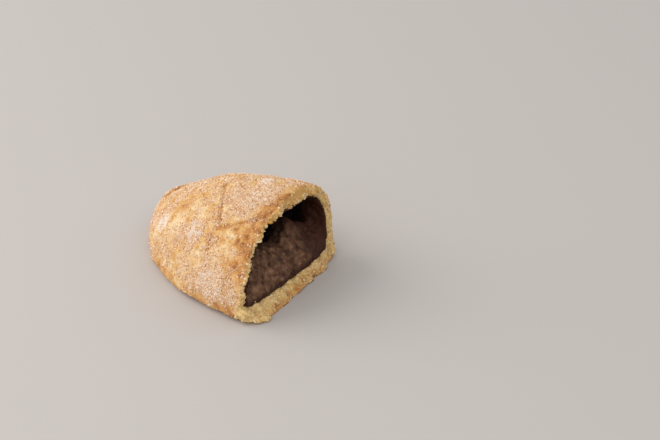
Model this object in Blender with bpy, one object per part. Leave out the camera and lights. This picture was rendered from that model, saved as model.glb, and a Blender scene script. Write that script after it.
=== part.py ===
"""Half of a baked sweet empanada, broken across its middle: a puffed pastry case
and the dark filling inside it. Units are metres and +Z is up. The break faces +X,
the tip points to -X, the folded side is at +Y and the sealed edge at -Y."""

import math
from dataclasses import dataclass

import bmesh
import bpy
from mathutils import Vector, noise

# The half as a whole.
LENGTH = 0.0600          # from the break to the tip, along the folded side
WIDTH = 0.0520           # from the folded side to the sealed edge, at the break
HEIGHT = 0.0324          # of the dome, at the break
TIP_ACROSS = 0.0085      # of the tip from the line of the fold
TIP_LOW = 0.0042         # underside of the pressed dough at the tip
TIP_HIGH = 0.0086        # its upper side

# Thickness of the pastry wall.
WALL_TOP = 0.0028
WALL_BASE = 0.0036
WALL_FOLD = 0.0040
WALL_SEAL = 0.0024
WALL_TIP = 0.0085

# Cross-section of the case. Shares are of the section's own width or height.
CROWN_SHARE = 0.42       # place of the highest line, counted from the fold
FOLD_LEVEL = 0.36        # height of the widest place on the folded side
SEAL_LEVEL = 0.13        # height of the sealed edge
FOLD_POWER = 2.35        # 2 is an ellipse, more is squarer
SEAL_POWER = 1.85
BASE_POWER = 4.5
BASE_CUT = 0.0006        # taken off the underside, which makes it flat

# The dome falls away towards the tip and leaves a pressed border there.
DOME_SHARE = 1.0         # of the length, where the dome ends
DOME_POWER = 1.95
DENT = 0.0010            # depth of the soft hollows in the dome
DENT_SIZE = 0.017

# The broken edge. It runs askew, and the base crust stands out past the dome.
SKEW = 0.0030            # of the sealed side past the folded side
LEDGE_SKIN = 0.0066
LEDGE_ROOM = 0.0022
LEDGE_CORNER = 0.0044    # lost of the ledge at the sealed corner, where it crumbled
CORNER_FROM = 0.0470     # across, where that loss begins
LEDGE_HEIGHT = 0.0060
TEAR = 0.0009            # raggedness
TEAR_SIZE = 0.006
SAG = 0.0025             # how much lower the dome's inside hangs at the break
SAG_ACROSS = 0.0220
SAG_WIDTH = 0.0068
SAG_FROM = 0.0140        # height where the sag starts
SAG_WHOLE = 0.0240       # and where it is whole
SAG_END = 0.25           # station where it has faded

# The filling and the air above it.
CLEARANCE = 0.0004       # between the filling and the pastry
FILM_FOLD = 0.0016       # thickness of the filling that clings to the case
FILM_SEAL = 0.0030
FILM_TOP = 0.0011
FILM_FRONT = 0.0008      # its step back from the broken edge
HEAP_FRONT = 0.0012      # how far the heap swells out past the broken edge
HEAP_SWELL = 0.0016      # how far its face bulges between its foot and its top edge
HEAP_SLOPE = 0.0045      # how far its top edge lies behind its foot
POCKET_DEPTH = 0.0320
POCKET_FLOOR = 0.0115
POCKET_END_LOW = 0.0140
POCKET_END_HIGH = 0.0170
HIGH_RISE = 0.0080       # of the heap's higher mound above the air space's floor
HIGH_ACROSS = 0.0200
HIGH_WIDTH = 0.0088
LOW_RISE = 0.0030        # of its lower mound, on the sealed side
LOW_ACROSS = 0.0340
LOW_WIDTH = 0.0075
STEP_ACROSS = 0.0213     # where the higher mound falls away to the lower
STEP_WIDTH = 0.0035
LUMP = 0.0008
LUMP_SIZE = 0.007

# Fineness of the surfaces.
TURNS = 64
SKIN_STATIONS = 30
ROOM_STATIONS = 15
BREAK_ROWS = 3
FILL_TURNS = 48
FILL_STATIONS = 13
FRONT_ROWS = 4
POCKET_STATIONS = 9
NOISE_SHIFT = Vector((3.7, 1.3, 8.1))


def smooth(value, low, high):
    """0 below low, 1 above high, and an even S between them."""
    share = min(1.0, max(0.0, (value - low) / (high - low)))
    return share * share * (3.0 - 2.0 * share)


def ripple(point, size, seed):
    """Smooth noise from about -1 to 1, whose lumps are as wide as size."""
    return noise.noise(point / size + NOISE_SHIFT * seed)


def signed_power(value, power):
    return math.copysign(abs(value) ** power, value)


@dataclass
class Horn:
    """A closed form that narrows from an upright section at the break to a tip. Its
    places are (along, across, height): along from the break towards the tip, across
    from the folded side to the sealed edge."""

    length: float
    fold: float
    seal: float
    low: float
    high: float
    tip_across: float
    tip_low: float
    tip_high: float

    def place(self, turn, station):
        """Turn 0 is the sealed edge, 0.25 the top, 0.5 the fold and 0.75 the base.
        Station 0 is the break and 1 the tip."""
        bend = station * math.pi / 2
        shrink = max(0.0, math.cos(bend))
        seal = self.tip_across + (self.seal - self.tip_across) * shrink ** 1.1
        fold = self.tip_across + (self.fold - self.tip_across) * shrink ** 0.45
        dome = 1 - (math.sin(bend) / DOME_SHARE) ** DOME_POWER
        dome = (dome + math.sqrt(dome * dome + 0.004)) / 2
        high = self.tip_high + (self.high - self.tip_high) * dome
        low = self.low + (self.tip_low - self.low) * smooth(station, 0.6, 1.0)
        angle = math.tau * turn
        cosine, sine = math.cos(angle), math.sin(angle)
        crown = fold + (seal - fold) * CROWN_SHARE
        reach = (seal - crown) if cosine > 0 else (crown - fold)
        side = (1 - cosine) / 2
        bulge = SEAL_POWER + (FOLD_POWER - SEAL_POWER) * side
        power = bulge if sine > 0 else BASE_POWER
        share = SEAL_LEVEL + (FOLD_LEVEL - SEAL_LEVEL) * side
        level = low + share * (high - low)
        rise = (high - level) if sine > 0 else (level - low)
        across = crown + reach * signed_power(cosine, 2 / power)
        height = level + rise * signed_power(sine, 2 / power)
        return Vector((self.length * math.sin(bend), across, height))

    def rings(self, turns, stations, shape):
        """Rings of points from the break to just before the tip, then the tip."""
        rows = []
        for row in range(stations):
            station = row / stations
            places = [self.place(k / turns, station) for k in range(turns)]
            rows.append([shape(p, station) for p in places])
        return rows, self.place(0.0, 1.0)


SKIN = Horn(LENGTH, 0.0, WIDTH, 0.0, HEIGHT, TIP_ACROSS, TIP_LOW, TIP_HIGH)
ROOM = Horn(LENGTH - WALL_TIP, WALL_FOLD, WIDTH - WALL_SEAL, WALL_BASE, HEIGHT - WALL_TOP,
            TIP_ACROSS + 0.004, TIP_LOW + 0.002, TIP_HIGH + 0.001)
FILL = Horn(ROOM.length - CLEARANCE, ROOM.fold + CLEARANCE, ROOM.seal - CLEARANCE,
            ROOM.low + CLEARANCE, ROOM.high - CLEARANCE, ROOM.tip_across,
            ROOM.tip_low + CLEARANCE, ROOM.tip_high - CLEARANCE)
POCKET = Horn(POCKET_DEPTH, FILL.fold + FILM_FOLD, FILL.seal - FILM_SEAL, POCKET_FLOOR,
              FILL.high - FILM_TOP, TIP_ACROSS + 0.008, POCKET_END_LOW, POCKET_END_HIGH)


def mound(across, rise, middle, width):
    """Height of a rounded mound at a place across the half."""
    return rise * math.exp(-((across - middle) / width) ** 2)


def sagged(place, station):
    """The place let down where the dome hangs thicker behind the broken edge."""
    share = smooth(place.z, SAG_FROM, SAG_WHOLE) * (1 - smooth(station, 0, SAG_END))
    place.z -= mound(place.y, SAG, SAG_ACROSS, SAG_WIDTH) * share
    return place


def stand_out(place, ledge, crumbled):
    """How far the broken edge stands out at a place of its section. The base stands out
    further by ledge, and by crumbled less at the sealed corner."""
    sideways = place.y / WIDTH
    base = 1 - smooth(place.z, 0.45 * LEDGE_HEIGHT, LEDGE_HEIGHT)
    across = Vector((0.0, place.y, place.z))
    ragged = TEAR * (ripple(across, TEAR_SIZE, 1) + 0.6 * ripple(across, TEAR_SIZE / 2.5, 2))
    reach = ledge * (0.35 + 0.65 * sideways) - crumbled * smooth(place.y, CORNER_FROM, WIDTH)
    return SKEW * sideways + reach * base + ragged


def dented(place, station):
    """The place pushed in or out a little, as baked dough is, and not at the break."""
    middle = Vector((place.x, place.y * 0.5 + 0.010, 0.004))
    outward = (place - middle).normalized()
    depth = DENT * ripple(place, DENT_SIZE, 3) + 0.4 * DENT * ripple(place, DENT_SIZE / 2.3, 4)
    return place + outward * depth * smooth(place.z, 0.003, 0.009) * smooth(station, 0, 0.1)


def skin_shape(place, station):
    """A place of the case's outside."""
    out = stand_out(place, LEDGE_SKIN, LEDGE_CORNER) * (1 - smooth(station, 0, 0.22))
    place = dented(place, station)
    place.x -= out
    place.z = max(0.0, place.z - BASE_CUT)
    return place


def room_shape(place, station):
    """A place of the case's inside."""
    place = sagged(place, station)
    place.x -= stand_out(place, LEDGE_ROOM, 0.0) * (1 - smooth(station, 0, 0.22))
    return place


def between(outer, inner, share, rough):
    """A place on the broken face, between its outer and inner edges."""
    place = outer.lerp(inner, share)
    place.x -= rough * ripple(place, TEAR_SIZE / 2, 5) * math.sin(math.pi * share)
    return place


def case():
    """Rings of the pastry case: the outside from its tip, the broken face, and the
    inside to its end."""
    outside, tip = SKIN.rings(TURNS, SKIN_STATIONS, skin_shape)
    inside, end = ROOM.rings(TURNS, ROOM_STATIONS, room_shape)
    face = []
    for row in range(1, BREAK_ROWS + 1):
        share = row / (BREAK_ROWS + 1)
        pairs = zip(outside[0], inside[0])
        face.append([between(outer, inner, share, 2 * TEAR) for outer, inner in pairs])
    return [[tip]] + outside[::-1] + face + inside + [[end]]


def heap_share(height):
    """0 at the film under the dome and 1 at the heap on the base."""
    return 1 - smooth(height, 0.4 * POCKET_FLOOR, 2.0 * POCKET_FLOOR)


def fill_shape(place, station):
    """A place of the filling's outside, whose front follows the broken edge."""
    place = sagged(place, station)
    heap = heap_share(place.z)
    ahead = SKEW * place.y / WIDTH + HEAP_FRONT * heap - FILM_FRONT * (1 - heap)
    place.x -= ahead * (1 - smooth(station, 0, 0.22))
    return place


def heap_rise(across):
    """Height of the heap's top above the air space's floor."""
    share = smooth(across, STEP_ACROSS - STEP_WIDTH / 2, STEP_ACROSS + STEP_WIDTH / 2)
    high = mound(across, HIGH_RISE, HIGH_ACROSS, HIGH_WIDTH)
    low = mound(across, LOW_RISE, LOW_ACROSS, LOW_WIDTH)
    return high * (1 - share) + low * share


def pocket_shape(place, station):
    """A place of the air space's surface, whose floor is the heap's lumpy top."""
    place = sagged(place, station)
    floor = 1 - smooth(place.z, POCKET_FLOOR + 0.001, POCKET_FLOOR + 0.010)
    fade = 1 - smooth(station, 0.5, 1.0)
    lumps = LUMP * ripple(place, LUMP_SIZE, 6)
    place.z += (heap_rise(place.y) * fade + lumps) * floor
    back = FILM_FRONT + HEAP_SLOPE * floor
    place.x += (back - SKEW * place.y / WIDTH) * (1 - smooth(station, 0, 0.5))
    return place


def heap():
    """Rings of the filling: the outside from its end, the front, and the air space."""
    outside, end = FILL.rings(FILL_TURNS, FILL_STATIONS, fill_shape)
    space, back = POCKET.rings(FILL_TURNS, POCKET_STATIONS, pocket_shape)
    front = []
    for row in range(1, FRONT_ROWS + 1):
        share = row / (FRONT_ROWS + 1)
        ring = []
        for outer, inner in zip(outside[0], space[0]):
            place = outer.lerp(inner, share)
            swell = math.sin(math.pi * share)
            bulge = (HEAP_SWELL + 2 * LUMP * ripple(place, LUMP_SIZE, 7)) * heap_share(place.z)
            place.x -= bulge * swell
            ring.append(place)
        front.append(ring)
    return [[end]] + outside[::-1] + front + space + [[back]]


def make_solid(name, rings, shift, finish):
    """A closed solid from rings of places. The first and last are single points."""
    mesh = bmesh.new()
    rows = [[mesh.verts.new(Vector((-p.x, -p.y, p.z)) - shift) for p in ring] for ring in rings]
    for row, after in zip(rows[1:-1], rows[2:-1]):
        for i, vertex in enumerate(row):
            j = (i + 1) % len(row)
            mesh.faces.new((vertex, row[j], after[j], after[i]))
    for point, row in ((rows[0][0], rows[1]), (rows[-1][0], rows[-2])):
        for i, vertex in enumerate(row):
            mesh.faces.new((vertex, row[(i + 1) % len(row)], point))
    bmesh.ops.recalc_face_normals(mesh, faces=mesh.faces)
    for face in mesh.faces:
        face.smooth = True
    data = bpy.data.meshes.new(name)
    mesh.to_mesh(data)
    mesh.free()
    data.materials.append(finish)
    obj = bpy.data.objects.new(name, data)
    bpy.context.scene.collection.objects.link(obj)


def finish(name, colour, roughness):
    """A plain material of one colour."""
    material = bpy.data.materials.new(name)
    material.use_nodes = True
    shader = material.node_tree.nodes["Principled BSDF"]
    shader.inputs["Base Color"].default_value = (*colour, 1.0)
    shader.inputs["Roughness"].default_value = roughness
    shader.inputs["Metallic"].default_value = 0.0
    return material


def main():
    for obj in list(bpy.data.objects):
        bpy.data.objects.remove(obj)
    pastry = case()
    places = [Vector((-p.x, -p.y, p.z)) for ring in pastry for p in ring]
    shift = Vector((0.0, 0.0, 0.0))
    for axis in (0, 1):
        values = [p[axis] for p in places]
        shift[axis] = (min(values) + max(values)) / 2
    make_solid("crust", pastry, shift, finish("pastry", (0.72, 0.49, 0.24), 0.75))
    make_solid("filling", heap(), shift, finish("chocolate", (0.055, 0.026, 0.017), 0.5))


main()
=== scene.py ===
"""Looks of half a small sweet empanada, broken across: puffed shortcrust dusted with
cinnamon sugar, pale crumb along the break, and a heap of dark chocolate filling under
an air space. Units are metres and +Z is up; the break faces +X and the tip -X."""

import logging
import math
from dataclasses import dataclass, field
from enum import Enum

import bmesh
import bpy
import numpy as np
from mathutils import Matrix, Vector, noise
from mathutils.bvhtree import BVHTree


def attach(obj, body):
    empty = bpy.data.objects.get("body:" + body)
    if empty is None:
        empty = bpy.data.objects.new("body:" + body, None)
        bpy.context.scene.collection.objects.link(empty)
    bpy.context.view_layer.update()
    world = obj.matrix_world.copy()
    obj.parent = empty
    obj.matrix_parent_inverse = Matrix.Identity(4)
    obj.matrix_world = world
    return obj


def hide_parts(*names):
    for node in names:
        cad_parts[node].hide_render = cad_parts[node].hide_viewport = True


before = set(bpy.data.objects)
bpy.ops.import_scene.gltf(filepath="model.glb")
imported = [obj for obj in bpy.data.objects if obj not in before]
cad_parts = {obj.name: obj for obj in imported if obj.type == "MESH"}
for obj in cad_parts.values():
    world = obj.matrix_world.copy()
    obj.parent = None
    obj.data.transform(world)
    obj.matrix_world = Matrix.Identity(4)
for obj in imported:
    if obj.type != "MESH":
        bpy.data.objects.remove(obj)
LOG = logging.getLogger("empanada")
MM = 0.001
ROOT = "root"
NOISE_SHIFT = np.array((17.1, 5.3, 9.7))   # moves the noise's pattern, for each seed
ABOVE_FLOOR = 0.02 * MM   # the lowest that any vertex of the pastry or the grains lies

Colour = tuple[float, float, float]


class Side(Enum):
    """The named surfaces that a point of the pastry can lie on."""

    OUTSIDE = 0
    TORN = 1
    INSIDE = 2
    UNDER = 3


# ---------------------------------------------------------------- small helpers


def srgb(red: int, green: int, blue: int) -> Colour:
    """A linear colour from 0-255 display values.

    Args:
        red, green, blue: display values.

    Returns:
        The linear colour.
    """
    parts = []
    for value in (red, green, blue):
        share = value / 255
        parts.append(share / 12.92 if share <= 0.04045 else ((share + 0.055) / 1.055) ** 2.4)
    return parts[0], parts[1], parts[2]


def ease(values: np.ndarray, low: float, high: float) -> np.ndarray:
    """An S-shaped step, from 0 at low to 1 at high.

    Args:
        values: numbers to pass through the step.
        low, high: where the step starts and ends; high may be the smaller one.

    Returns:
        The stepped numbers.
    """
    share = np.clip((values - low) / (high - low), 0.0, 1.0)
    return share * share * (3.0 - 2.0 * share)


def ripples(points: np.ndarray, size: float, seed: float) -> np.ndarray:
    """Smooth noise at each point.

    Args:
        points: one row per point, in metres.
        size: width of the noise's lumps, in metres.
        seed: picks one of many unlike patterns.

    Returns:
        A number from about -1 to 1 for each point.
    """
    places = points / size + NOISE_SHIFT * seed
    return np.array([noise.noise(place) for place in places.tolist()])


@dataclass(frozen=True)
class Wave:
    """Smooth noise of one strength and one width of lump."""

    strength: float
    size: float
    seed: int

    def at(self, points: np.ndarray) -> np.ndarray:
        """The noise at each point."""
        return self.strength * ripples(points, self.size, self.seed)


def waved(start: float, waves: tuple[Wave, ...], points: np.ndarray) -> np.ndarray:
    """Several waves on top of an even level.

    Args:
        start: the even level.
        waves: what is added to it.
        points: one row per point.

    Returns:
        The sum at each point.
    """
    total = np.full(len(points), start)
    for wave in waves:
        total = total + wave.at(points)
    return total


def line_distance(points: np.ndarray, path: np.ndarray) -> np.ndarray:
    """Distance from each point to a line of straight stretches.

    Args:
        points: one row per point.
        path: the line's corners, one row each.

    Returns:
        One distance per point.
    """
    best = np.full(len(points), np.inf)
    for start, end in zip(path[:-1], path[1:]):
        run = end - start
        share = np.clip(((points - start) @ run) / (run @ run), 0.0, 1.0)
        near = start + share[:, None] * run
        best = np.minimum(best, np.linalg.norm(points - near, axis=1))
    return best


def deselect() -> None:
    """Leaves nothing selected, so that operators act on one object."""
    bpy.ops.object.select_all(action="DESELECT")


def activate(obj: bpy.types.Object) -> None:
    """Makes one object the only selected and the active one."""
    deselect()
    obj.select_set(True)
    bpy.context.view_layer.objects.active = obj


def vertex_places(mesh: bpy.types.Mesh) -> np.ndarray:
    """The mesh's vertices, one row each."""
    flat = np.empty(len(mesh.vertices) * 3)
    mesh.vertices.foreach_get("co", flat)
    return flat.reshape(-1, 3)


def vertex_normals(mesh: bpy.types.Mesh) -> np.ndarray:
    """The mesh's vertex normals, one row each."""
    flat = np.empty(len(mesh.vertices) * 3)
    mesh.vertex_normals.foreach_get("vector", flat)
    return flat.reshape(-1, 3)


def write_places(mesh: bpy.types.Mesh, places: np.ndarray) -> None:
    """Moves the mesh's vertices to new places."""
    mesh.vertices.foreach_set("co", places.ravel())
    mesh.update()


def write_values(mesh: bpy.types.Mesh, name: str, values: np.ndarray) -> None:
    """Stores one number per vertex under a name that a material can read."""
    layer = mesh.attributes.get(name) or mesh.attributes.new(name, "FLOAT", "POINT")
    layer.data.foreach_set("value", values.astype(np.float32))


def triangle_count(obj: bpy.types.Object) -> int:
    """How many triangles the object's mesh has."""
    return sum(len(face.vertices) - 2 for face in obj.data.polygons)


def surface_tree(obj: bpy.types.Object) -> BVHTree:
    """A search tree over an object's faces."""
    faces = [list(face.vertices) for face in obj.data.polygons]
    return BVHTree.FromPolygons(vertex_places(obj.data).tolist(), faces)


def nearest(tree: BVHTree, points: np.ndarray) -> tuple[np.ndarray, np.ndarray, np.ndarray]:
    """The nearest place of a surface to each point.

    Args:
        tree: search tree over the surface.
        points: one row per point.

    Returns:
        The nearest places, the surface's normals there, and the distances.
    """
    places = np.empty_like(points)
    normals = np.empty_like(points)
    gaps = np.empty(len(points))
    for row, point in enumerate(points.tolist()):
        place, normal, _, gap = tree.find_nearest(point)
        places[row] = place
        normals[row] = normal
        gaps[row] = gap
    return places, normals, gaps


def smoothed(obj: bpy.types.Object, voxel: float, rounds: int) -> None:
    """Gives an object an even mesh and softens it.

    Args:
        obj: the object, which is the active one.
        voxel: width of its new faces.
        rounds: how often it is smoothed.
    """
    remesh = obj.modifiers.new("even", "REMESH")
    remesh.mode = "VOXEL"
    remesh.voxel_size = voxel
    bpy.ops.object.modifier_apply(modifier=remesh.name)
    smoother = obj.modifiers.new("soften", "SMOOTH")
    smoother.factor = 0.5
    smoother.iterations = rounds
    bpy.ops.object.modifier_apply(modifier=smoother.name)
    bpy.ops.object.shade_smooth()


def copy_of(node: str, name: str, voxel: float, rounds: int) -> bpy.types.Object:
    """A fine, even mesh over a copy of a CAD node's solid.

    Args:
        node: the CAD node.
        name: name for the new piece.
        voxel: width of its faces.
        rounds: how often it is smoothed.

    Returns:
        The new object.
    """
    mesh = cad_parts[node].data.copy()
    mesh.materials.clear()
    obj = bpy.data.objects.new(name, mesh)
    bpy.context.scene.collection.objects.link(obj)
    activate(obj)
    bpy.ops.object.mode_set(mode="EDIT")
    bpy.ops.mesh.select_all(action="SELECT")
    bpy.ops.mesh.remove_doubles(threshold=0.01 * MM)
    bpy.ops.object.mode_set(mode="OBJECT")
    smoothed(obj, voxel, rounds)
    return obj


# --------------------------------------------------------------------- finishes


class Graph:
    """A short way to lay out a material's nodes."""

    def __init__(self, name: str) -> None:
        self.material = bpy.data.materials.new(name)
        self.material.use_nodes = True
        self.nodes = self.material.node_tree.nodes
        self.links = self.material.node_tree.links
        self.shader = self.nodes["Principled BSDF"]
        self.place = self.nodes.new("ShaderNodeTexCoord").outputs["Object"]

    def join(self, output: bpy.types.NodeSocket, target: bpy.types.NodeSocket) -> None:
        """Links two sockets."""
        self.links.new(output, target)

    def fix(self, name: str, value: object) -> None:
        """Gives an input of the shader a plain value."""
        self.shader.inputs[name].default_value = value

    def glow(self, weight: float, radius: tuple[float, float, float], scale: float) -> None:
        """Lets light into the surface.

        Args:
            weight: how much of the light goes in.
            radius: how far red, green and blue go, as shares of scale.
            scale: how far light goes, in metres.
        """
        self.fix("Subsurface Weight", weight)
        self.fix("Subsurface Radius", radius)
        self.fix("Subsurface Scale", scale)

    def value(self, name: str) -> bpy.types.NodeSocket:
        """The number that the mesh stores under a name."""
        node = self.nodes.new("ShaderNodeAttribute")
        node.attribute_name = name
        return node.outputs["Fac"]

    def noise(self, size: float, detail: float = 3.0,
              rough: float = 0.55) -> bpy.types.NodeSocket:
        """Noise whose lumps are about size wide."""
        node = self.nodes.new("ShaderNodeTexNoise")
        node.inputs["Scale"].default_value = 1.0 / size
        node.inputs["Detail"].default_value = detail
        node.inputs["Roughness"].default_value = rough
        self.join(self.place, node.inputs["Vector"])
        return node.outputs["Fac"]

    def ramp(self, fac: bpy.types.NodeSocket,
             stops: list[tuple[float, Colour]]) -> bpy.types.NodeSocket:
        """A colour that runs through the given stops."""
        node = self.nodes.new("ShaderNodeValToRGB")
        node.color_ramp.elements[0].position = stops[0][0]
        node.color_ramp.elements[0].color = (*stops[0][1], 1.0)
        node.color_ramp.elements[1].position = stops[-1][0]
        node.color_ramp.elements[1].color = (*stops[-1][1], 1.0)
        for position, colour in stops[1:-1]:
            node.color_ramp.elements.new(position).color = (*colour, 1.0)
        self.join(fac, node.inputs["Fac"])
        return node.outputs["Color"]

    def between(self, fac: bpy.types.NodeSocket, low: float, high: float,
                to_low: float = 0.0, to_high: float = 1.0) -> bpy.types.NodeSocket:
        """Stretches a number's range low..high to another, and keeps it inside."""
        node = self.nodes.new("ShaderNodeMapRange")
        node.inputs["From Min"].default_value = low
        node.inputs["From Max"].default_value = high
        node.inputs["To Min"].default_value = to_low
        node.inputs["To Max"].default_value = to_high
        self.join(fac, node.inputs["Value"])
        return node.outputs["Result"]

    def maths(self, kind: str, first: bpy.types.NodeSocket,
              second: object) -> bpy.types.NodeSocket:
        """One sum on two numbers; the second may be a plain number."""
        node = self.nodes.new("ShaderNodeMath")
        node.operation = kind
        self.join(first, node.inputs[0])
        if isinstance(second, (int, float)):
            node.inputs[1].default_value = second
        else:
            self.join(second, node.inputs[1])
        return node.outputs["Value"]

    def mix(self, fac: bpy.types.NodeSocket, first: object, second: object) -> bpy.types.NodeSocket:
        """A blend of two colours; either may be a plain colour."""
        node = self.nodes.new("ShaderNodeMix")
        node.data_type = "RGBA"
        self.join(fac, node.inputs["Factor"])
        for socket, colour in ((node.inputs["A"], first), (node.inputs["B"], second)):
            if isinstance(colour, tuple):
                socket.default_value = (*colour, 1.0)
            else:
                self.join(colour, socket)
        return node.outputs["Result"]

    def bump(self, height: bpy.types.NodeSocket, depth: float,
             under: object = None) -> bpy.types.NodeSocket:
        """Fine relief of a given depth, over other relief if there is any."""
        node = self.nodes.new("ShaderNodeBump")
        node.inputs["Distance"].default_value = depth
        self.join(height, node.inputs["Height"])
        if under is not None:
            self.join(under, node.inputs["Normal"])
        return node.outputs["Normal"]


@dataclass(frozen=True)
class PastryFinish:
    """Baked shortcrust: golden outside, browner where the bake value is high (it also
    carries painted shade along the creases), and a pale sandy crumb where it is torn."""

    pale: Colour = srgb(240, 212, 168)
    golden: Colour = srgb(228, 182, 116)
    orange: Colour = srgb(210, 150, 82)
    brown: Colour = srgb(160, 98, 46)
    crumb_light: Colour = srgb(252, 224, 162)
    crumb_dark: Colour = srgb(218, 168, 94)
    crumb_baked: Colour = srgb(234, 174, 86)
    frost: Colour = srgb(236, 216, 198)
    dust: Colour = srgb(172, 112, 62)
    sugar_film: Colour = srgb(232, 196, 160)
    # brown painted shade for the crevices between sugar grains
    sugar_crevice_shade: Colour = srgb(186, 130, 84)

    mottle_size: float = 2.6 * MM
    fleck_size: float = 0.8 * MM
    speck_size: float = 0.5 * MM
    film_grain: float = 0.95 * MM
    film_clumps: float = 1.6 * MM
    frost_grain: float = 0.8 * MM
    crumb_grain: float = 0.7 * MM
    pore_size: float = 0.9 * MM
    pore_depth: float = 0.6 * MM
    grit_size: float = 0.25 * MM
    grit_depth: float = 0.12 * MM
    roughness: float = 0.68
    specular: float = 0.35
    glow_weight: float = 0.12
    glow_radius: tuple[float, float, float] = (1.0, 0.55, 0.3)
    glow_scale: float = 1.2 * MM

    def skin(self, g: Graph) -> bpy.types.NodeSocket:
        """The colour of the outside: baked dough with painted shade along the creases, spice
        dust, and a film of sugar.

        Args:
            g: the graph to lay it out in.

        Returns:
            The colour.
        """
        mottle = g.between(g.noise(self.mottle_size, 4.0), 0.3, 0.7, -0.26, 0.26)
        flecks = g.between(g.noise(self.fleck_size, 3.0), 0.3, 0.7, -0.13, 0.13)
        # the bake value also holds the painted shade along the creases
        level = g.maths("ADD", g.maths("ADD", g.value("bake_and_crease_shade"), mottle), flecks)
        stops = [(0.05, self.pale), (0.38, self.golden), (0.68, self.orange), (1.0, self.brown)]
        baked = g.ramp(level, stops)
        speck = g.between(g.noise(self.speck_size, 2.0, 0.6), 0.55, 0.68)
        dusting = g.maths("MULTIPLY", speck, g.maths("MULTIPLY", g.value("dust"), 0.6))
        dusted = g.mix(dusting, baked, self.dust)
        # low noise in the sugar film takes the painted crevice shade colour
        grains = [(0.38, self.sugar_crevice_shade), (0.50, self.sugar_film), (0.75, self.sugar_film)]
        film = g.ramp(g.noise(self.film_grain, 4.0, 0.65), grains)
        spread = g.between(g.noise(self.film_clumps, 3.0), 0.35, 0.6, 0.25, 0.95)
        sugared = g.mix(g.maths("MULTIPLY", g.value("sugar"), spread), dusted, film)
        frosting = g.between(g.noise(self.frost_grain, 3.0), 0.36, 0.56, 0.1, 0.9)
        return g.mix(g.maths("MULTIPLY", g.value("frost"), frosting), sugared, self.frost)

    def crumb(self, g: Graph) -> bpy.types.NodeSocket:
        """The colour of the torn dough.

        Args:
            g: the graph to lay it out in.

        Returns:
            The colour.
        """
        grit = g.noise(self.crumb_grain, 4.0, 0.65)
        pale = g.ramp(grit, [(0.32, self.crumb_dark), (0.62, self.crumb_light)])
        baked = g.mix(g.between(grit, 0.35, 0.6), self.crumb_baked, self.crumb_dark)
        return g.mix(g.value("toasted"), pale, baked)

    def material(self) -> bpy.types.Material:
        """Lays out the nodes.

        Returns:
            The material.
        """
        g = Graph("pastry_baked")
        skin = self.skin(g)
        g.join(g.mix(g.value("torn"), skin, self.crumb(g)), g.shader.inputs["Base Color"])
        g.fix("Roughness", self.roughness)
        g.fix("Specular IOR Level", self.specular)
        g.glow(self.glow_weight, self.glow_radius, self.glow_scale)
        pores = g.bump(g.noise(self.pore_size, 5.0, 0.7), self.pore_depth)
        grit = g.bump(g.noise(self.grit_size, 3.0, 0.7), self.grit_depth, pores)
        g.join(grit, g.shader.inputs["Normal"])
        return g.material


@dataclass(frozen=True)
class GrainFinish:
    """Sugar or spice grains, whose colour runs between two shades by their tone."""

    name: str
    dark: Colour
    light: Colour
    roughness: float
    glow: float
    glow_radius: tuple[float, float, float] = (1.0, 0.8, 0.6)
    glow_scale: float = 0.4 * MM

    def material(self) -> bpy.types.Material:
        """Lays out the nodes.

        Returns:
            The material.
        """
        g = Graph(self.name)
        shades = g.ramp(g.value("tone"), [(0.0, self.dark), (1.0, self.light)])
        g.join(shades, g.shader.inputs["Base Color"])
        g.fix("Roughness", self.roughness)
        g.glow(self.glow, self.glow_radius, self.glow_scale)
        return g.material


@dataclass(frozen=True)
class FillingFinish:
    """Thick chocolate paste: matt brown where it is rough, darker and redder in the coat (near the
    pastry, high up and on the heap's fold side), and painted shade, near black, deep in the cavity."""

    deep: Colour = srgb(46, 26, 19)
    body: Colour = srgb(112, 78, 56)
    dry: Colour = srgb(164, 126, 96)
    coat: Colour = srgb(60, 26, 12)
    # painted shade: the near-black colour deep inside the cavity
    shade: Colour = srgb(24, 13, 10)

    patch_size: float = 2.2 * MM
    gloss_size: float = 1.5 * MM
    lump_size: float = 1.1 * MM
    lump_depth: float = 0.4 * MM
    grit_size: float = 0.3 * MM
    grit_depth: float = 0.12 * MM
    specular: float = 0.22

    def material(self) -> bpy.types.Material:
        """Lays out the nodes.

        Returns:
            The material.
        """
        g = Graph("filling_paste")
        patches = g.noise(self.patch_size, 4.0, 0.6)
        paste = g.ramp(patches, [(0.30, self.deep), (0.52, self.body), (0.75, self.dry)])
        coated = g.mix(g.value("coat"), paste, self.coat)
        # the inner value mixes in painted shade, near black, deep in the cavity
        g.join(g.mix(g.value("inner"), coated, self.shade), g.shader.inputs["Base Color"])
        gloss = g.between(g.noise(self.gloss_size, 3.0), 0.35, 0.65, 0.45, 0.75)
        g.join(gloss, g.shader.inputs["Roughness"])
        g.fix("Specular IOR Level", self.specular)
        lumps = g.bump(g.noise(self.lump_size, 4.0, 0.65), self.lump_depth)
        grit = g.bump(g.noise(self.grit_size, 3.0, 0.65), self.grit_depth, lumps)
        g.join(grit, g.shader.inputs["Normal"])
        return g.material


@dataclass(frozen=True)
class FloorFinish:
    """A plain pale surface."""

    colour: Colour = srgb(190, 185, 182)
    roughness: float = 0.6
    specular: float = 0.2

    def material(self) -> bpy.types.Material:
        """The material, with one even colour."""
        g = Graph("floor_pale")
        g.fix("Base Color", (*self.colour, 1.0))
        g.fix("Roughness", self.roughness)
        g.fix("Specular IOR Level", self.specular)
        return g.material


# ----------------------------------------------------------------------- pastry


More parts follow.
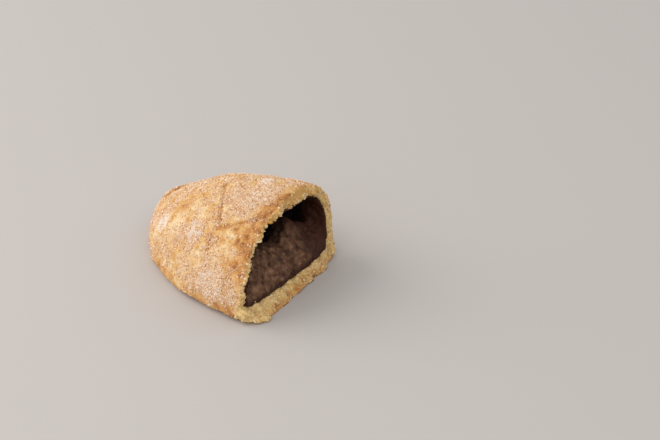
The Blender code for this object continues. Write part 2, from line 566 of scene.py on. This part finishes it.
@dataclass(frozen=True)
class Crease:
    """A line where the dough folded in while it baked, with painted shade along it.
    Its path is in millimetres.
    """

    path: tuple[tuple[float, float, float], ...]
    depth: float = 0.8 * MM
    width: float = 0.6 * MM
    lip_share: float = 0.25
    lip_away: float = 2.2
    # the strength and width of the painted shade along the fold
    brown: float = 0.55
    shade_width: float = 0.65 * MM

    def distance(self, points: np.ndarray) -> np.ndarray:
        """How far each point is from the line."""
        return line_distance(points, np.array(self.path) * MM)

    def fold(self, gap: np.ndarray) -> np.ndarray:
        """How deep the dough folds in, at a distance from the line."""
        return self.depth * np.exp(-((gap / self.width) ** 2))

    def lip(self, gap: np.ndarray) -> np.ndarray:
        """How far the dough swells out beside the fold."""
        away = (gap - self.lip_away * self.width) / self.width
        return self.lip_share * self.depth * np.exp(-(away ** 2))

    def shade_in_fold(self, gap: np.ndarray) -> np.ndarray:
        """How much painted shade darkens the dough in the fold."""
        return self.brown * np.exp(-((gap / self.shade_width) ** 2))


@dataclass(frozen=True)
class Patch:
    """A round area with its own share of sugar, or its own bake. Its middle and radius
    are in millimetres, and whole is the share of the radius inside which it doesn't
    fade."""

    middle: tuple[float, float, float]
    radius: float
    amount: float
    whole: float = 0.45

    def share(self, points: np.ndarray) -> np.ndarray:
        """The amount at each point, fading to nothing at the edge."""
        gap = np.linalg.norm(points - np.array(self.middle) * MM, axis=1)
        return self.amount * ease(gap, self.radius * MM, self.whole * self.radius * MM)


def patched(values: np.ndarray, patches: tuple[Patch, ...], points: np.ndarray,
            strength: float | np.ndarray = 1.0) -> np.ndarray:
    """Values with the amounts of patches added.

    Args:
        values: one number per point.
        patches: the patches.
        points: one row per point.
        strength: what each amount is multiplied by.

    Returns:
        The new values.
    """
    for patch in patches:
        values = values + patch.share(points) * strength
    return values


@dataclass
class PastryCase:
    """The crust: a fine mesh over the CAD case, sculpted and painted by numbers that
    are stored on its vertices."""

    voxel: float = 0.50 * MM
    rounds: int = 5

    # from these places along X, the corner and the ledge have crumbled
    corner_edge: float = 26.0 * MM
    shelf_edge: float = 27.4 * MM
    edge_wander: Wave = Wave(0.9 * MM, 2.5 * MM, 14)

    # how far the outside and the break stand out
    swellings: tuple[Wave, ...] = (
        Wave(0.30 * MM, 7 * MM, 1), Wave(0.20 * MM, 2.8 * MM, 2), Wave(0.09 * MM, 1.1 * MM, 3))
    chunks: Wave = Wave(0.50 * MM, 2.2 * MM, 4)
    pits: Wave = Wave(0.55 * MM, 1.0 * MM, 5)
    crumb_grain: Wave = Wave(0.24 * MM, 0.5 * MM, 6)
    teeth: Wave = Wave(1.5 * MM, 1.2 * MM, 15)
    uneven_teeth: tuple[Wave, ...] = (Wave(0.7 * MM, 0.6 * MM, 16), Wave(0.7 * MM, 3.0 * MM, 20))
    flakes: Wave = Wave(1.7 * MM, 3.2 * MM, 19)

    # how dark it is baked, 0 for pale and 1 for brown
    even_bake: float = 0.30
    uneven_bake: tuple[Wave, ...] = (Wave(0.16, 9 * MM, 7), Wave(0.26, 3.0 * MM, 8))
    low_bake: float = 0.28
    rim_bake: float = 0.42
    rim_wander: Wave = Wave(1.6 * MM, 3 * MM, 10)
    most_bake: float = 0.86
    under_bake: float = 0.75
    scorch_blots: Wave = Wave(1.0, 1.6 * MM, 46)

    # the height up to which the ledge keeps its baked skin, and the finer colours
    even_crust: float = 1.9 * MM
    corner_crust: float = 1.6 * MM
    crust_wander: Wave = Wave(1.3 * MM, 4 * MM, 17)
    toasting: float = 0.70
    uneven_toasting: Wave = Wave(0.45, 2.4 * MM, 18)
    even_dust: float = 0.6
    uneven_dust: Wave = Wave(0.5, 6 * MM, 9)
    frost_blots: Wave = Wave(1.7, 2.4 * MM, 45)

    creases: tuple[Crease, ...] = (
        Crease(((2.0, 1.5, 28.2), (2.8, 0.1, 28.1), (7.2, -6.4, 27.7),
                (9.8, -10.7, 26.2), (11.7, -13.6, 24.6))),
        Crease(((11.7, -15.4, 23.4), (14.8, -14.6, 24.3), (20.1, -12.5, 26.4),
                (23.6, -11.0, 27.9), (26.1, -9.3, 29.0))),
        Crease(((18.4, -14.3, 24.9), (20.5, -15.9, 23.9), (22.0, -18.4, 21.7),
                (24.0, -19.6, 20.5)), 0.5 * MM, 0.7 * MM),
        Crease(((10.5, -16.5, 21.0), (10.9, -18.0, 19.0), (11.2, -19.6, 17.0)),
               0.5 * MM, 0.7 * MM),
    )
    browner: tuple[Patch, ...] = (
        Patch((21.0, -16.4, 23.4), 4.5, 0.14),
        Patch((24.5, -18.0, 22.0), 5.0, 0.14),
        Patch((13.0, -16.0, 22.5), 4.0, 0.10),
        Patch((-9.0, -6.5, 20.0), 7.0, 0.16),
        Patch((22.5, -25.5, 2.5), 6.0, 0.12),
        Patch((6.0, -23.2, 2.0), 7.0, 0.15),
        Patch((24.9, -6.5, 30.0), 3.6, 0.45),
        Patch((24.4, -10.5, 28.2), 3.8, 0.45),
        Patch((-31.6, 15.0, 7.0), 8.0, 0.35),
    )
    scorched: tuple[Patch, ...] = (
        Patch((-28.8, 6.4, 11.2), 1.8, 0.26),
        Patch((-28.2, 9.0, 12.2), 2.2, 0.38),
        Patch((-27.2, 11.6, 13.2), 2.6, 0.48),
        Patch((-26.6, 14.4, 13.8), 3.0, 0.46),
    )
    paler: tuple[Patch, ...] = (
        Patch((-17.3, -7.1, 12.5), 6.0, 0.30),
        Patch((-7.4, -12.4, 16.6), 6.0, 0.25),
        Patch((5.0, -20.5, 12.0), 7.0, 0.20),
        Patch((0.4, -11.0, 24.0), 5.0, 0.15),
    )
    frosted: tuple[Patch, ...] = (
        Patch((14.4, 6.2, 31.0), 3.4, 1.0),
        Patch((3.2, -15.8, 19.7), 4.5, 0.7),
        Patch((-16.0, -7.5, 13.0), 4.5, 0.7),
        Patch((16.0, -24.0, 9.5), 6.0, 0.55),
        Patch((18.6, -3.0, 30.6), 5.0, 0.35),
    )
    obj: bpy.types.Object = field(init=False)
    side: np.ndarray = field(init=False)    # a Side's value for each vertex
    room: np.ndarray = field(init=False)    # how far each can move before the filling
    inner: np.ndarray = field(init=False)   # 1 beside the filling, 0 away from it

    def build(self) -> bpy.types.Object:
        """Makes the piece.

        Returns:
            The pastry object.
        """
        self.obj = copy_of("crust", "pastry_case", self.voxel, self.rounds)
        self.sort_sides()
        self.refine_torn()
        self.sort_sides()
        self.sculpt()
        self.paint()
        self.obj.data.materials.append(PastryFinish().material())
        return self.obj

    def sort_sides(self) -> None:
        """Finds which side of the pastry each vertex lies on, how much room its crumb
        has, and how near the cavity it lies."""
        points = vertex_places(self.obj.data)
        _, normals, _ = nearest(surface_tree(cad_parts["crust"]), points)
        near, _, gaps = nearest(surface_tree(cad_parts["filling"]), points)
        towards = np.einsum("ij,ij->i", near - points, normals) / np.maximum(gaps, 1e-9)
        inside = (gaps < 1.3 * MM) & (towards > 0.5) & (points[:, 0] < 25 * MM)
        torn = (normals[:, 0] > 0.35) & (points[:, 0] > 20 * MM)
        shelf = (points[:, 0] > 25 * MM) & (towards > 0.4) & (gaps < 6 * MM)
        wander = points[:, 0] + self.edge_wander.at(points)
        corner = (points[:, 1] < -19 * MM) & (points[:, 2] < 12 * MM)
        torn |= corner & (wander > self.corner_edge + 0.27 * points[:, 2])
        low = (points[:, 2] < 6 * MM) & (normals[:, 2] > -0.3)
        shelf |= low & (wander > self.shelf_edge) & (points[:, 1] < 20 * MM)
        ahead = (points[:, 0] - near[:, 0] > 0.25 * MM) & (normals[:, 0] > 0.4)
        self.room = np.where(ahead, np.maximum(gaps, 2.5 * MM), gaps)
        self.inner = ease(gaps, 3.4 * MM, 1.8 * MM)
        self.side = np.full(len(points), Side.OUTSIDE.value)
        self.side[points[:, 2] < 0.25 * MM] = Side.UNDER.value
        self.side[torn | shelf] = Side.TORN.value
        self.side[inside & ~torn] = Side.INSIDE.value

    def refine_torn(self) -> None:
        """Halves the faces along the break, which needs the finest crumb."""
        torn = self.side == Side.TORN.value
        mesh = bmesh.new()
        mesh.from_mesh(self.obj.data)
        mesh.verts.ensure_lookup_table()
        edges = [e for e in mesh.edges if torn[e.verts[0].index] or torn[e.verts[1].index]]
        bmesh.ops.subdivide_edges(mesh, edges=edges, cuts=1, use_grid_fill=True)
        bmesh.ops.triangulate(mesh, faces=[f for f in mesh.faces if len(f.verts) > 4])
        mesh.to_mesh(self.obj.data)
        mesh.free()

    def sculpt(self) -> None:
        """Pushes the vertices in and out: soft swellings and fine grain outside,
        creases, and coarse crumb along the break."""
        points = vertex_places(self.obj.data)
        normals = vertex_normals(self.obj.data)
        torn = (self.side == Side.TORN.value).astype(float)
        outside = (self.side == Side.OUTSIDE.value).astype(float)
        move = waved(0.0, self.swellings, points) * outside
        for crease in self.creases:
            gap = crease.distance(points)
            move += (crease.lip(gap) - crease.fold(gap)) * outside
        move += self.crumb(points) * torn
        points = points + normals * move[:, None]
        points[:, 2] = np.maximum(points[:, 2], ABOVE_FLOOR)
        write_places(self.obj.data, points)

    def crumb(self, points: np.ndarray) -> np.ndarray:
        """How far the broken dough stands out: coarse crumb, teeth along the upper
        edge, and flakes along the ledge.

        Args:
            points: the vertices' places.

        Returns:
            One distance per vertex, within the room that it has.
        """
        crumb = self.chunks.at(points) + np.abs(self.pits.at(points))
        crumb += self.crumb_grain.at(points)
        high = ease(points[:, 2], 5 * MM, 8 * MM)
        teeth = np.maximum(self.teeth.at(points), 0.0) + waved(0.0, self.uneven_teeth, points)
        flakes = self.flakes.at(points) * (1 - high) * ease(points[:, 0], 26 * MM, 29 * MM)
        crumb = crumb * (1 - 0.2 * high * (1 - self.inner)) + teeth * high * self.inner + flakes
        return np.minimum(crumb, 0.6 * self.room + (1 - high) * MM)

    def frost(self, points: np.ndarray) -> np.ndarray:
        """How white the sugar lies around each vertex."""
        blots = np.clip(0.55 + self.frost_blots.at(points), 0.0, 1.0)
        return patched(np.zeros(len(points)), self.frosted, points) * blots

    def baked(self, points: np.ndarray, low: np.ndarray) -> np.ndarray:
        """How dark the dough is baked, with painted shade added along the creases.

        Args:
            points: the vertices' places.
            low: how near the base each vertex lies.

        Returns:
            A number for each vertex, about 0 for pale and 1 for brown.
        """
        bake_and_crease_shade = waved(self.even_bake, self.uneven_bake, points) + self.low_bake * low
        rim = ease(points[:, 0] + self.rim_wander.at(points), 21.0 * MM, 25.0 * MM)
        bake_and_crease_shade += self.rim_bake * rim * ease(points[:, 2], 10 * MM, 18 * MM)
        bake_and_crease_shade = patched(bake_and_crease_shade, self.browner, points)
        bake_and_crease_shade = patched(bake_and_crease_shade, self.paler, points, -1.0)
        # painted shade along the creases, added to the bake value
        for crease in self.creases:
            bake_and_crease_shade += crease.shade_in_fold(crease.distance(points))
        bake_and_crease_shade = np.minimum(bake_and_crease_shade, self.most_bake)
        bake_and_crease_shade = patched(bake_and_crease_shade, self.scorched, points, 1 + self.scorch_blots.at(points))
        bake_and_crease_shade[self.side == Side.UNDER.value] = self.under_bake
        return bake_and_crease_shade

    def paint(self) -> None:
        """Stores the bake (with the painted crease shade), torn, frost, toasted and dust values."""
        mesh = self.obj.data
        points = vertex_places(mesh)
        low = ease(points[:, 2], 6 * MM, 1.0 * MM)
        write_values(mesh, "bake_and_crease_shade", self.baked(points, low))
        corner = self.corner_crust * ease(points[:, 1], -15 * MM, -19 * MM)
        crust = self.even_crust + self.crust_wander.at(points) - corner
        torn = (self.side == Side.TORN.value) | (self.side == Side.INSIDE.value)
        write_values(mesh, "torn", torn * ease(points[:, 2] - crust, -0.5 * MM, 0.6 * MM))
        write_values(mesh, "frost", np.clip(self.frost(points), 0, 1))
        toasted = self.toasting * ease(points[:, 2], 22 * MM, 28 * MM)
        toasted += self.uneven_toasting.at(points)
        write_values(mesh, "toasted", np.clip(toasted, 0, 1))
        dust = self.even_dust + self.uneven_dust.at(points) - 0.5 * low
        outside = self.side == Side.OUTSIDE.value
        write_values(mesh, "dust", np.clip(dust, 0, 1) * outside)


# -------------------------------------------------------------------- scattered


@dataclass
class Scatter:
    """Many small solids strewn over a surface and joined in one mesh. The share of
    each that sinks in is sink, and thinnest is the least share of its width that it
    is squashed to."""

    name: str
    count: int
    smallest: float
    largest: float
    seed: int
    sink: float
    detail: int = 0
    thinnest: float = 0.6
    cube: float = 0.8
    favour_small: float = 1.8
    dents: float = 0.22

    def unit(self) -> tuple[np.ndarray, np.ndarray]:
        """One small solid's corners and faces: a cube, or a rounder form where
        detail is 1.

        Returns:
            The corners, and the faces as rows of corner numbers.
        """
        mesh = bmesh.new()
        if self.detail:
            bmesh.ops.create_icosphere(mesh, subdivisions=self.detail, radius=0.5)
        else:
            bmesh.ops.create_cube(mesh, size=self.cube)
        corners = np.array([v.co[:] for v in mesh.verts])
        faces = np.array([[v.index for v in f.verts] for f in mesh.faces])
        mesh.free()
        return corners, faces

    def build(self, places: np.ndarray, normals: np.ndarray) -> bpy.types.Object:
        """Makes the piece.

        Args:
            places: where each small solid goes.
            normals: the surface's normal at each.

        Returns:
            The joined object.
        """
        rng = np.random.default_rng(self.seed)
        corners, faces = self.unit()
        number = len(places)
        share = rng.random(number) ** self.favour_small
        sizes = self.smallest + (self.largest - self.smallest) * share
        stretch = 1.0 - (1.0 - self.thinnest) * rng.random((number, 3))
        shape = corners[None] * stretch[:, None, :]
        shape = shape * (1 + self.dents * (rng.random((number, len(corners), 3)) - 0.5))
        turn = self.turns(rng, number)
        shape = np.einsum("nij,nkj->nki", turn, shape) * sizes[:, None, None]
        lift = (0.5 - self.sink) * sizes * self.cube
        shape += (places + normals * lift[:, None])[:, None, :]
        low = shape[:, :, 2].min(axis=1)
        shape[:, :, 2] += np.maximum(ABOVE_FLOOR - low, 0.0)[:, None]
        index = faces[None] + (np.arange(number) * len(corners))[:, None, None]
        mesh = bpy.data.meshes.new(self.name)
        index = index.reshape(-1, faces.shape[1])
        mesh.from_pydata(shape.reshape(-1, 3).tolist(), [], index.tolist())
        write_values(mesh, "tone", np.repeat(rng.random(number), len(corners)))
        obj = bpy.data.objects.new(self.name, mesh)
        bpy.context.scene.collection.objects.link(obj)
        return obj

    @staticmethod
    def turns(rng: np.random.Generator, number: int) -> np.ndarray:
        """Evenly random rotations.

        Args:
            rng: source of the random numbers.
            number: how many rotations.

        Returns:
            One 3 by 3 matrix each.
        """
        w, x, y, z = rng.normal(size=(4, number))
        size = np.sqrt(w * w + x * x + y * y + z * z)
        w, x, y, z = w / size, x / size, y / size, z / size
        rows = [1 - 2 * (y * y + z * z), 2 * (x * y - z * w), 2 * (x * z + y * w),
                2 * (x * y + z * w), 1 - 2 * (x * x + z * z), 2 * (y * z - x * w),
                2 * (x * z - y * w), 2 * (y * z + x * w), 1 - 2 * (x * x + y * y)]
        return np.stack(rows, axis=1).reshape(number, 3, 3)


class Ground:
    """A surface to strew things on, with a weight for each of its faces."""

    def __init__(self, obj: bpy.types.Object) -> None:
        mesh = obj.data
        mesh.calc_loop_triangles()
        flat = np.empty(len(mesh.loop_triangles) * 3, dtype=np.int32)
        mesh.loop_triangles.foreach_get("vertices", flat)
        self.corners = flat.reshape(-1, 3)
        self.points = vertex_places(mesh)
        a, b, c = (self.points[self.corners[:, k]] for k in range(3))
        cross = np.cross(b - a, c - a)
        self.area = np.linalg.norm(cross, axis=1) / 2
        self.normal = cross / np.maximum(2 * self.area[:, None], 1e-15)

    def strew(self, weight: np.ndarray, number: int, seed: int) -> tuple[np.ndarray, np.ndarray]:
        """Random places on the surface.

        Args:
            weight: how thickly each vertex's surroundings are strewn.
            number: how many places.
            seed: of the random numbers.

        Returns:
            The places, and the surface's normal at each.
        """
        rng = np.random.default_rng(seed)
        share = self.area * weight[self.corners].mean(axis=1)
        rows = rng.choice(len(share), size=number, p=share / share.sum())
        first, second = rng.random(number), rng.random(number)
        over = first + second > 1
        first[over], second[over] = 1 - first[over], 1 - second[over]
        a, b, c = (self.points[self.corners[rows, k]] for k in range(3))
        return a + (b - a) * first[:, None] + (c - a) * second[:, None], self.normal[rows]


@dataclass
class SugarCoat:
    """Cinnamon sugar on the pastry: white grains, grains brown with spice, specks of
    the spice itself, and clear grains where the frost lies."""

    pastry: PastryCase
    even: float = 0.22
    drifts: tuple[Wave, ...] = (Wave(0.70, 5 * MM, 11), Wave(0.55, 2.2 * MM, 12))
    clumps: Wave = Wave(1.5, 1.5 * MM, 13)
    clear_clumps: Wave = Wave(1.0, 1.8 * MM, 14)
    thick: tuple[Patch, ...] = (
        Patch((18.6, -1.5, 30.8), 7.5, 1.25),
        Patch((11.6, -3.4, 29.5), 6.0, 1.2),
        Patch((16.5, -8.6, 28.4), 4.5, 1.1),
        Patch((14.4, 6.2, 31.0), 3.6, 2.4),
        Patch((3.5, -15.8, 19.7), 5.0, 1.3),
        Patch((-2.0, -14.5, 17.5), 4.0, 0.8),
        Patch((15.5, -24.0, 10.0), 7.5, 2.0),
        Patch((22.0, -25.0, 9.0), 5.5, 1.5),
        Patch((9.5, -23.0, 8.5), 4.5, 1.0),
        Patch((-14.0, 2.0, 19.0), 5.0, 0.8),
        Patch((-20.6, -4.0, 10.0), 5.0, 0.6),
        Patch((-0.6, 18.0, 24.0), 10.0, 0.8),
    )
    bare: tuple[Patch, ...] = (
        Patch((-8.0, -7.0, 21.0), 8.0, 0.9),
        Patch((-12.0, -10.0, 14.5), 5.0, 0.5),
        Patch((21.5, -16.5, 23.3), 4.5, 1.0),
        Patch((13.0, -15.5, 23.0), 3.0, 0.6),
        Patch((-27.6, 11.0, 12.8), 4.6, 0.9),
    )

    def weight(self, points: np.ndarray) -> np.ndarray:
        """How thickly sugar lies around each vertex."""
        cover = waved(self.even, self.drifts, points)
        cover = patched(cover, self.thick, points)
        cover = patched(cover, self.bare, points, -1.0)
        clumps = 0.45 + np.maximum(self.clumps.at(points) + 0.225, 0.0)
        cover = np.clip(cover, 0.04, 2.0) * clumps
        cover *= ease(points[:, 2], 1.0 * MM, 6.0 * MM) * 0.9 + 0.1
        rim = ease(points[:, 0], 21.5 * MM, 25.0 * MM) * ease(points[:, 2], 8 * MM, 14 * MM)
        return cover * (1 - 0.8 * rim) * (self.pastry.side == Side.OUTSIDE.value)

    def build(self) -> list[bpy.types.Object]:
        """Makes the pieces.

        Returns:
            One object for each kind of grain.
        """
        ground = Ground(self.pastry.obj)
        weight = self.weight(ground.points)
        write_values(self.pastry.obj.data, "sugar", np.clip(weight / 1.3, 0.0, 1.0))
        frost = self.pastry.frost(ground.points) * (self.pastry.side == Side.OUTSIDE.value)
        clumps = 0.4 + np.maximum(self.clear_clumps.at(ground.points), 0.0)
        whitest = np.clip(frost - 0.12, 0, 0.6) * clumps
        few = 1.0
        kinds = (
            (Scatter("sugar_white", int(12000 * few), 0.26 * MM, 0.68 * MM, 21, 0.45), weight,
             GrainFinish("sugar_white", srgb(226, 188, 154), srgb(248, 224, 198), 0.45, 0.3)),
            (Scatter("sugar_spiced", int(14000 * few), 0.24 * MM, 0.64 * MM, 22, 0.45), weight ** 0.8,
             GrainFinish("sugar_spiced", srgb(200, 146, 96), srgb(236, 198, 154), 0.5, 0.2)),
            (Scatter("cinnamon_specks", int(6500 * few), 0.16 * MM, 0.40 * MM, 23, 0.4), weight ** 0.7,
             GrainFinish("cinnamon", srgb(142, 86, 46), srgb(196, 134, 80), 0.7, 0.0)),
            (Scatter("sugar_clear", int(1500 * few), 0.26 * MM, 0.64 * MM, 24, 0.4), whitest,
             GrainFinish("sugar_clear", srgb(228, 204, 184), srgb(250, 238, 226), 0.45, 0.3)),
        )
        pieces = []
        for scatter, cover, finish in kinds:
            places, normals = ground.strew(cover, scatter.count, scatter.seed + 100)
            piece = scatter.build(places, normals)
            piece.data.materials.append(finish.material())
            pieces.append(piece)
        return pieces


@dataclass
class Crumbs:
    """Crumbs that still hold to the torn edge."""

    pastry: PastryCase

    def build(self) -> list[bpy.types.Object]:
        """Makes the pieces.

        Returns:
            The crumbs, in one object.
        """
        ground = Ground(self.pastry.obj)
        torn = (self.pastry.side == Side.TORN.value).astype(float)
        clumps = np.clip(0.5 + 1.2 * ripples(ground.points, 2.5 * MM, 31), 0.02, 2.0)
        count = 1500
        scatter = Scatter("torn_crumbs", count, 0.35 * MM, 1.25 * MM, 32, 0.45, 1, 0.36)
        places, normals = ground.strew(torn * clumps, scatter.count, 33)
        crumbs = scatter.build(places, normals)
        finish = GrainFinish("crumb_pale", srgb(200, 160, 100), srgb(242, 220, 172), 0.75, 0.1)
        crumbs.data.materials.append(finish.material())
        return [crumbs]


# ---------------------------------------------------------------------- filling


@dataclass
class Filling:
    """The chocolate paste: a lumpy heap, and the coat it left on the pastry."""

    voxel: float = 0.45 * MM
    rounds: int = 4
    lumps: tuple[Wave, ...] = (
        Wave(0.80 * MM, 4.6 * MM, 41), Wave(0.70 * MM, 1.9 * MM, 42), Wave(0.35 * MM, 0.9 * MM, 43))
    closing: float = 0.45 * MM
    groove_depth: float = 3.4 * MM
    groove_gap: float = 1.0 * MM
    groove_width: float = 2.0 * MM
    least_film: float = 0.4 * MM
    fold_wander: Wave = Wave(2 * MM, 4 * MM, 44)

    def moves(self, points: np.ndarray, normals: np.ndarray, gaps: np.ndarray,
              heap: np.ndarray) -> np.ndarray:
        """How far the paste swells or sinks.

        Args:
            points, normals: the vertices' places and normals.
            gaps: how far each vertex is from the crust.
            heap: 1 on the heap, 0 under the dome.

        Returns:
            One distance per vertex.
        """
        touching = ease(gaps, 1.1 * MM, 0.6 * MM)
        lumps = waved(0.0, self.lumps, points)
        front = ease(normals[:, 0], 0.2, 0.6) * (points[:, 1] < 0)
        front = front * ease(points[:, 2], 6 * MM, 10 * MM)
        away = (gaps - self.groove_gap) / self.groove_width
        groove = self.groove_depth * np.exp(-(away ** 2)) * front
        free = (lumps - groove) * (1 - touching) * (0.35 + 0.65 * heap)
        move = self.closing * touching + free
        film = ease(gaps, 2.5 * MM, 1.6 * MM)
        return np.maximum(move, (self.least_film - gaps) * film + move * (1 - film))

    def build(self) -> bpy.types.Object:
        """Makes the piece.

        Returns:
            The filling object.
        """
        obj = copy_of("filling", "chocolate_filling", self.voxel, self.rounds)
        points = vertex_places(obj.data)
        normals = vertex_normals(obj.data)
        _, _, gaps = nearest(surface_tree(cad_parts["crust"]), points)
        heap = ease(points[:, 2], 24 * MM, 14 * MM)
        move = self.moves(points, normals, gaps, heap)
        write_places(obj.data, points + normals * move[:, None])
        # the darker, redder coat colour goes on the thin film by the crust, on the paste high up, and
        # on most of the heap's fold side
        fold_side = ease(points[:, 1] + self.fold_wander.at(points), 5 * MM, 13 * MM)
        body = heap * ease(gaps, 0.8 * MM, 2.5 * MM)
        write_values(obj.data, "coat", 1 - body * (1 - 0.9 * fold_side))
        # painted shade: the paste turns near black deeper inside the cavity, away from the break
        write_values(obj.data, "inner", ease(points[:, 0], 22 * MM, 15 * MM))
        obj.data.materials.append(FillingFinish().material())
        return obj


# ------------------------------------------------------------------------ stage


@dataclass(frozen=True)
class Viewpoint:
    """Where the camera stands, from the place it looks at."""

    target: tuple[float, float, float] = (0.01116, 0.0440, 0.0)
    azimuth: float = 36.0
    elevation: float = 28.3
    distance: float = 0.70
    lens: float = 116.07
    sensor: float = 36.0
    clip: float = 10 * MM

    def build(self) -> None:
        """Makes the camera and looks through it."""
        turn, lift = math.radians(self.azimuth), math.radians(self.elevation)
        level = math.cos(lift)
        back = Vector((math.sin(turn) * level, -math.cos(turn) * level, math.sin(lift)))
        deselect()
        bpy.ops.object.camera_add(location=Vector(self.target) + back * self.distance)
        camera = bpy.context.object
        camera.rotation_mode = "QUATERNION"
        camera.rotation_quaternion = (-back).to_track_quat("-Z", "Y")
        camera.data.lens = self.lens
        camera.data.sensor_width = self.sensor
        camera.data.clip_start = self.clip
        bpy.context.scene.camera = camera


@dataclass(frozen=True)
class Studio:
    """A pale floor, an even sky, and large soft lights from the left and the front."""

    key_place: tuple[float, float, float] = (-0.68, -0.34, 0.58)
    key_size: float = 1.0
    key_power: float = 5.6
    fill_place: tuple[float, float, float] = (0.05, -0.85, 0.55)
    fill_size: float = 0.9
    fill_power: float = 2.5
    sky: float = 0.74
    sky_tint: Colour = (1.0, 0.985, 0.97)
    lamp_tint: Colour = (1.0, 0.985, 0.96)
    floor_size: float = 4.0

    def build(self) -> bpy.types.Object:
        """Makes the lights and the floor.

        Returns:
            The floor.
        """
        world = bpy.data.worlds.new("sky")
        world.use_nodes = True
        sky = world.node_tree.nodes["Background"]
        sky.inputs["Color"].default_value = (*self.sky_tint, 1.0)
        sky.inputs["Strength"].default_value = self.sky
        bpy.context.scene.world = world
        deselect()
        self.lamp("key", self.key_place, self.key_size, self.key_power)
        self.lamp("fill", self.fill_place, self.fill_size, self.fill_power)
        bpy.ops.mesh.primitive_plane_add(size=self.floor_size, location=(0, 0, 0))
        floor = bpy.context.object
        floor.name = "floor"
        floor.data.materials.append(FloorFinish().material())
        return floor

    def lamp(self, name: str, place: tuple[float, float, float], size: float,
             power: float) -> None:
        """Adds a round soft light that shines on the middle of the floor.

        Args:
            name: the light's name.
            place: where it hangs.
            size: how wide it is.
            power: how strong it is, in watts.
        """
        bpy.ops.object.light_add(type="AREA", location=place)
        lamp = bpy.context.object
        lamp.name = name
        lamp.data.shape = "DISK"
        lamp.data.size = size
        lamp.data.energy = power
        lamp.data.color = self.lamp_tint
        lamp.rotation_mode = "QUATERNION"
        lamp.rotation_quaternion = (-Vector(place)).to_track_quat("-Z", "Y")


def settle(piece: bpy.types.Object) -> None:
    """Joins a finished piece to the frame and reports it.

    Args:
        piece: the piece.
    """
    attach(piece, ROOT)
    LOG.info("%s: %d triangles", piece.name, triangle_count(piece))


def main() -> None:
    """Builds every piece, the lights and the camera."""
    logging.basicConfig(level=logging.INFO, format="%(message)s")
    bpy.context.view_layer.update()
    bpy.context.scene.view_settings.view_transform = "Standard"
    pastry = PastryCase()
    crust = pastry.build()
    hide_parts("crust")
    settle(crust)
    filling = Filling().build()
    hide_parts("filling")
    settle(filling)
    for piece in SugarCoat(pastry).build() + Crumbs(pastry).build():
        settle(piece)
    Studio().build()
    Viewpoint().build()


if __name__ == "__main__":
    main()
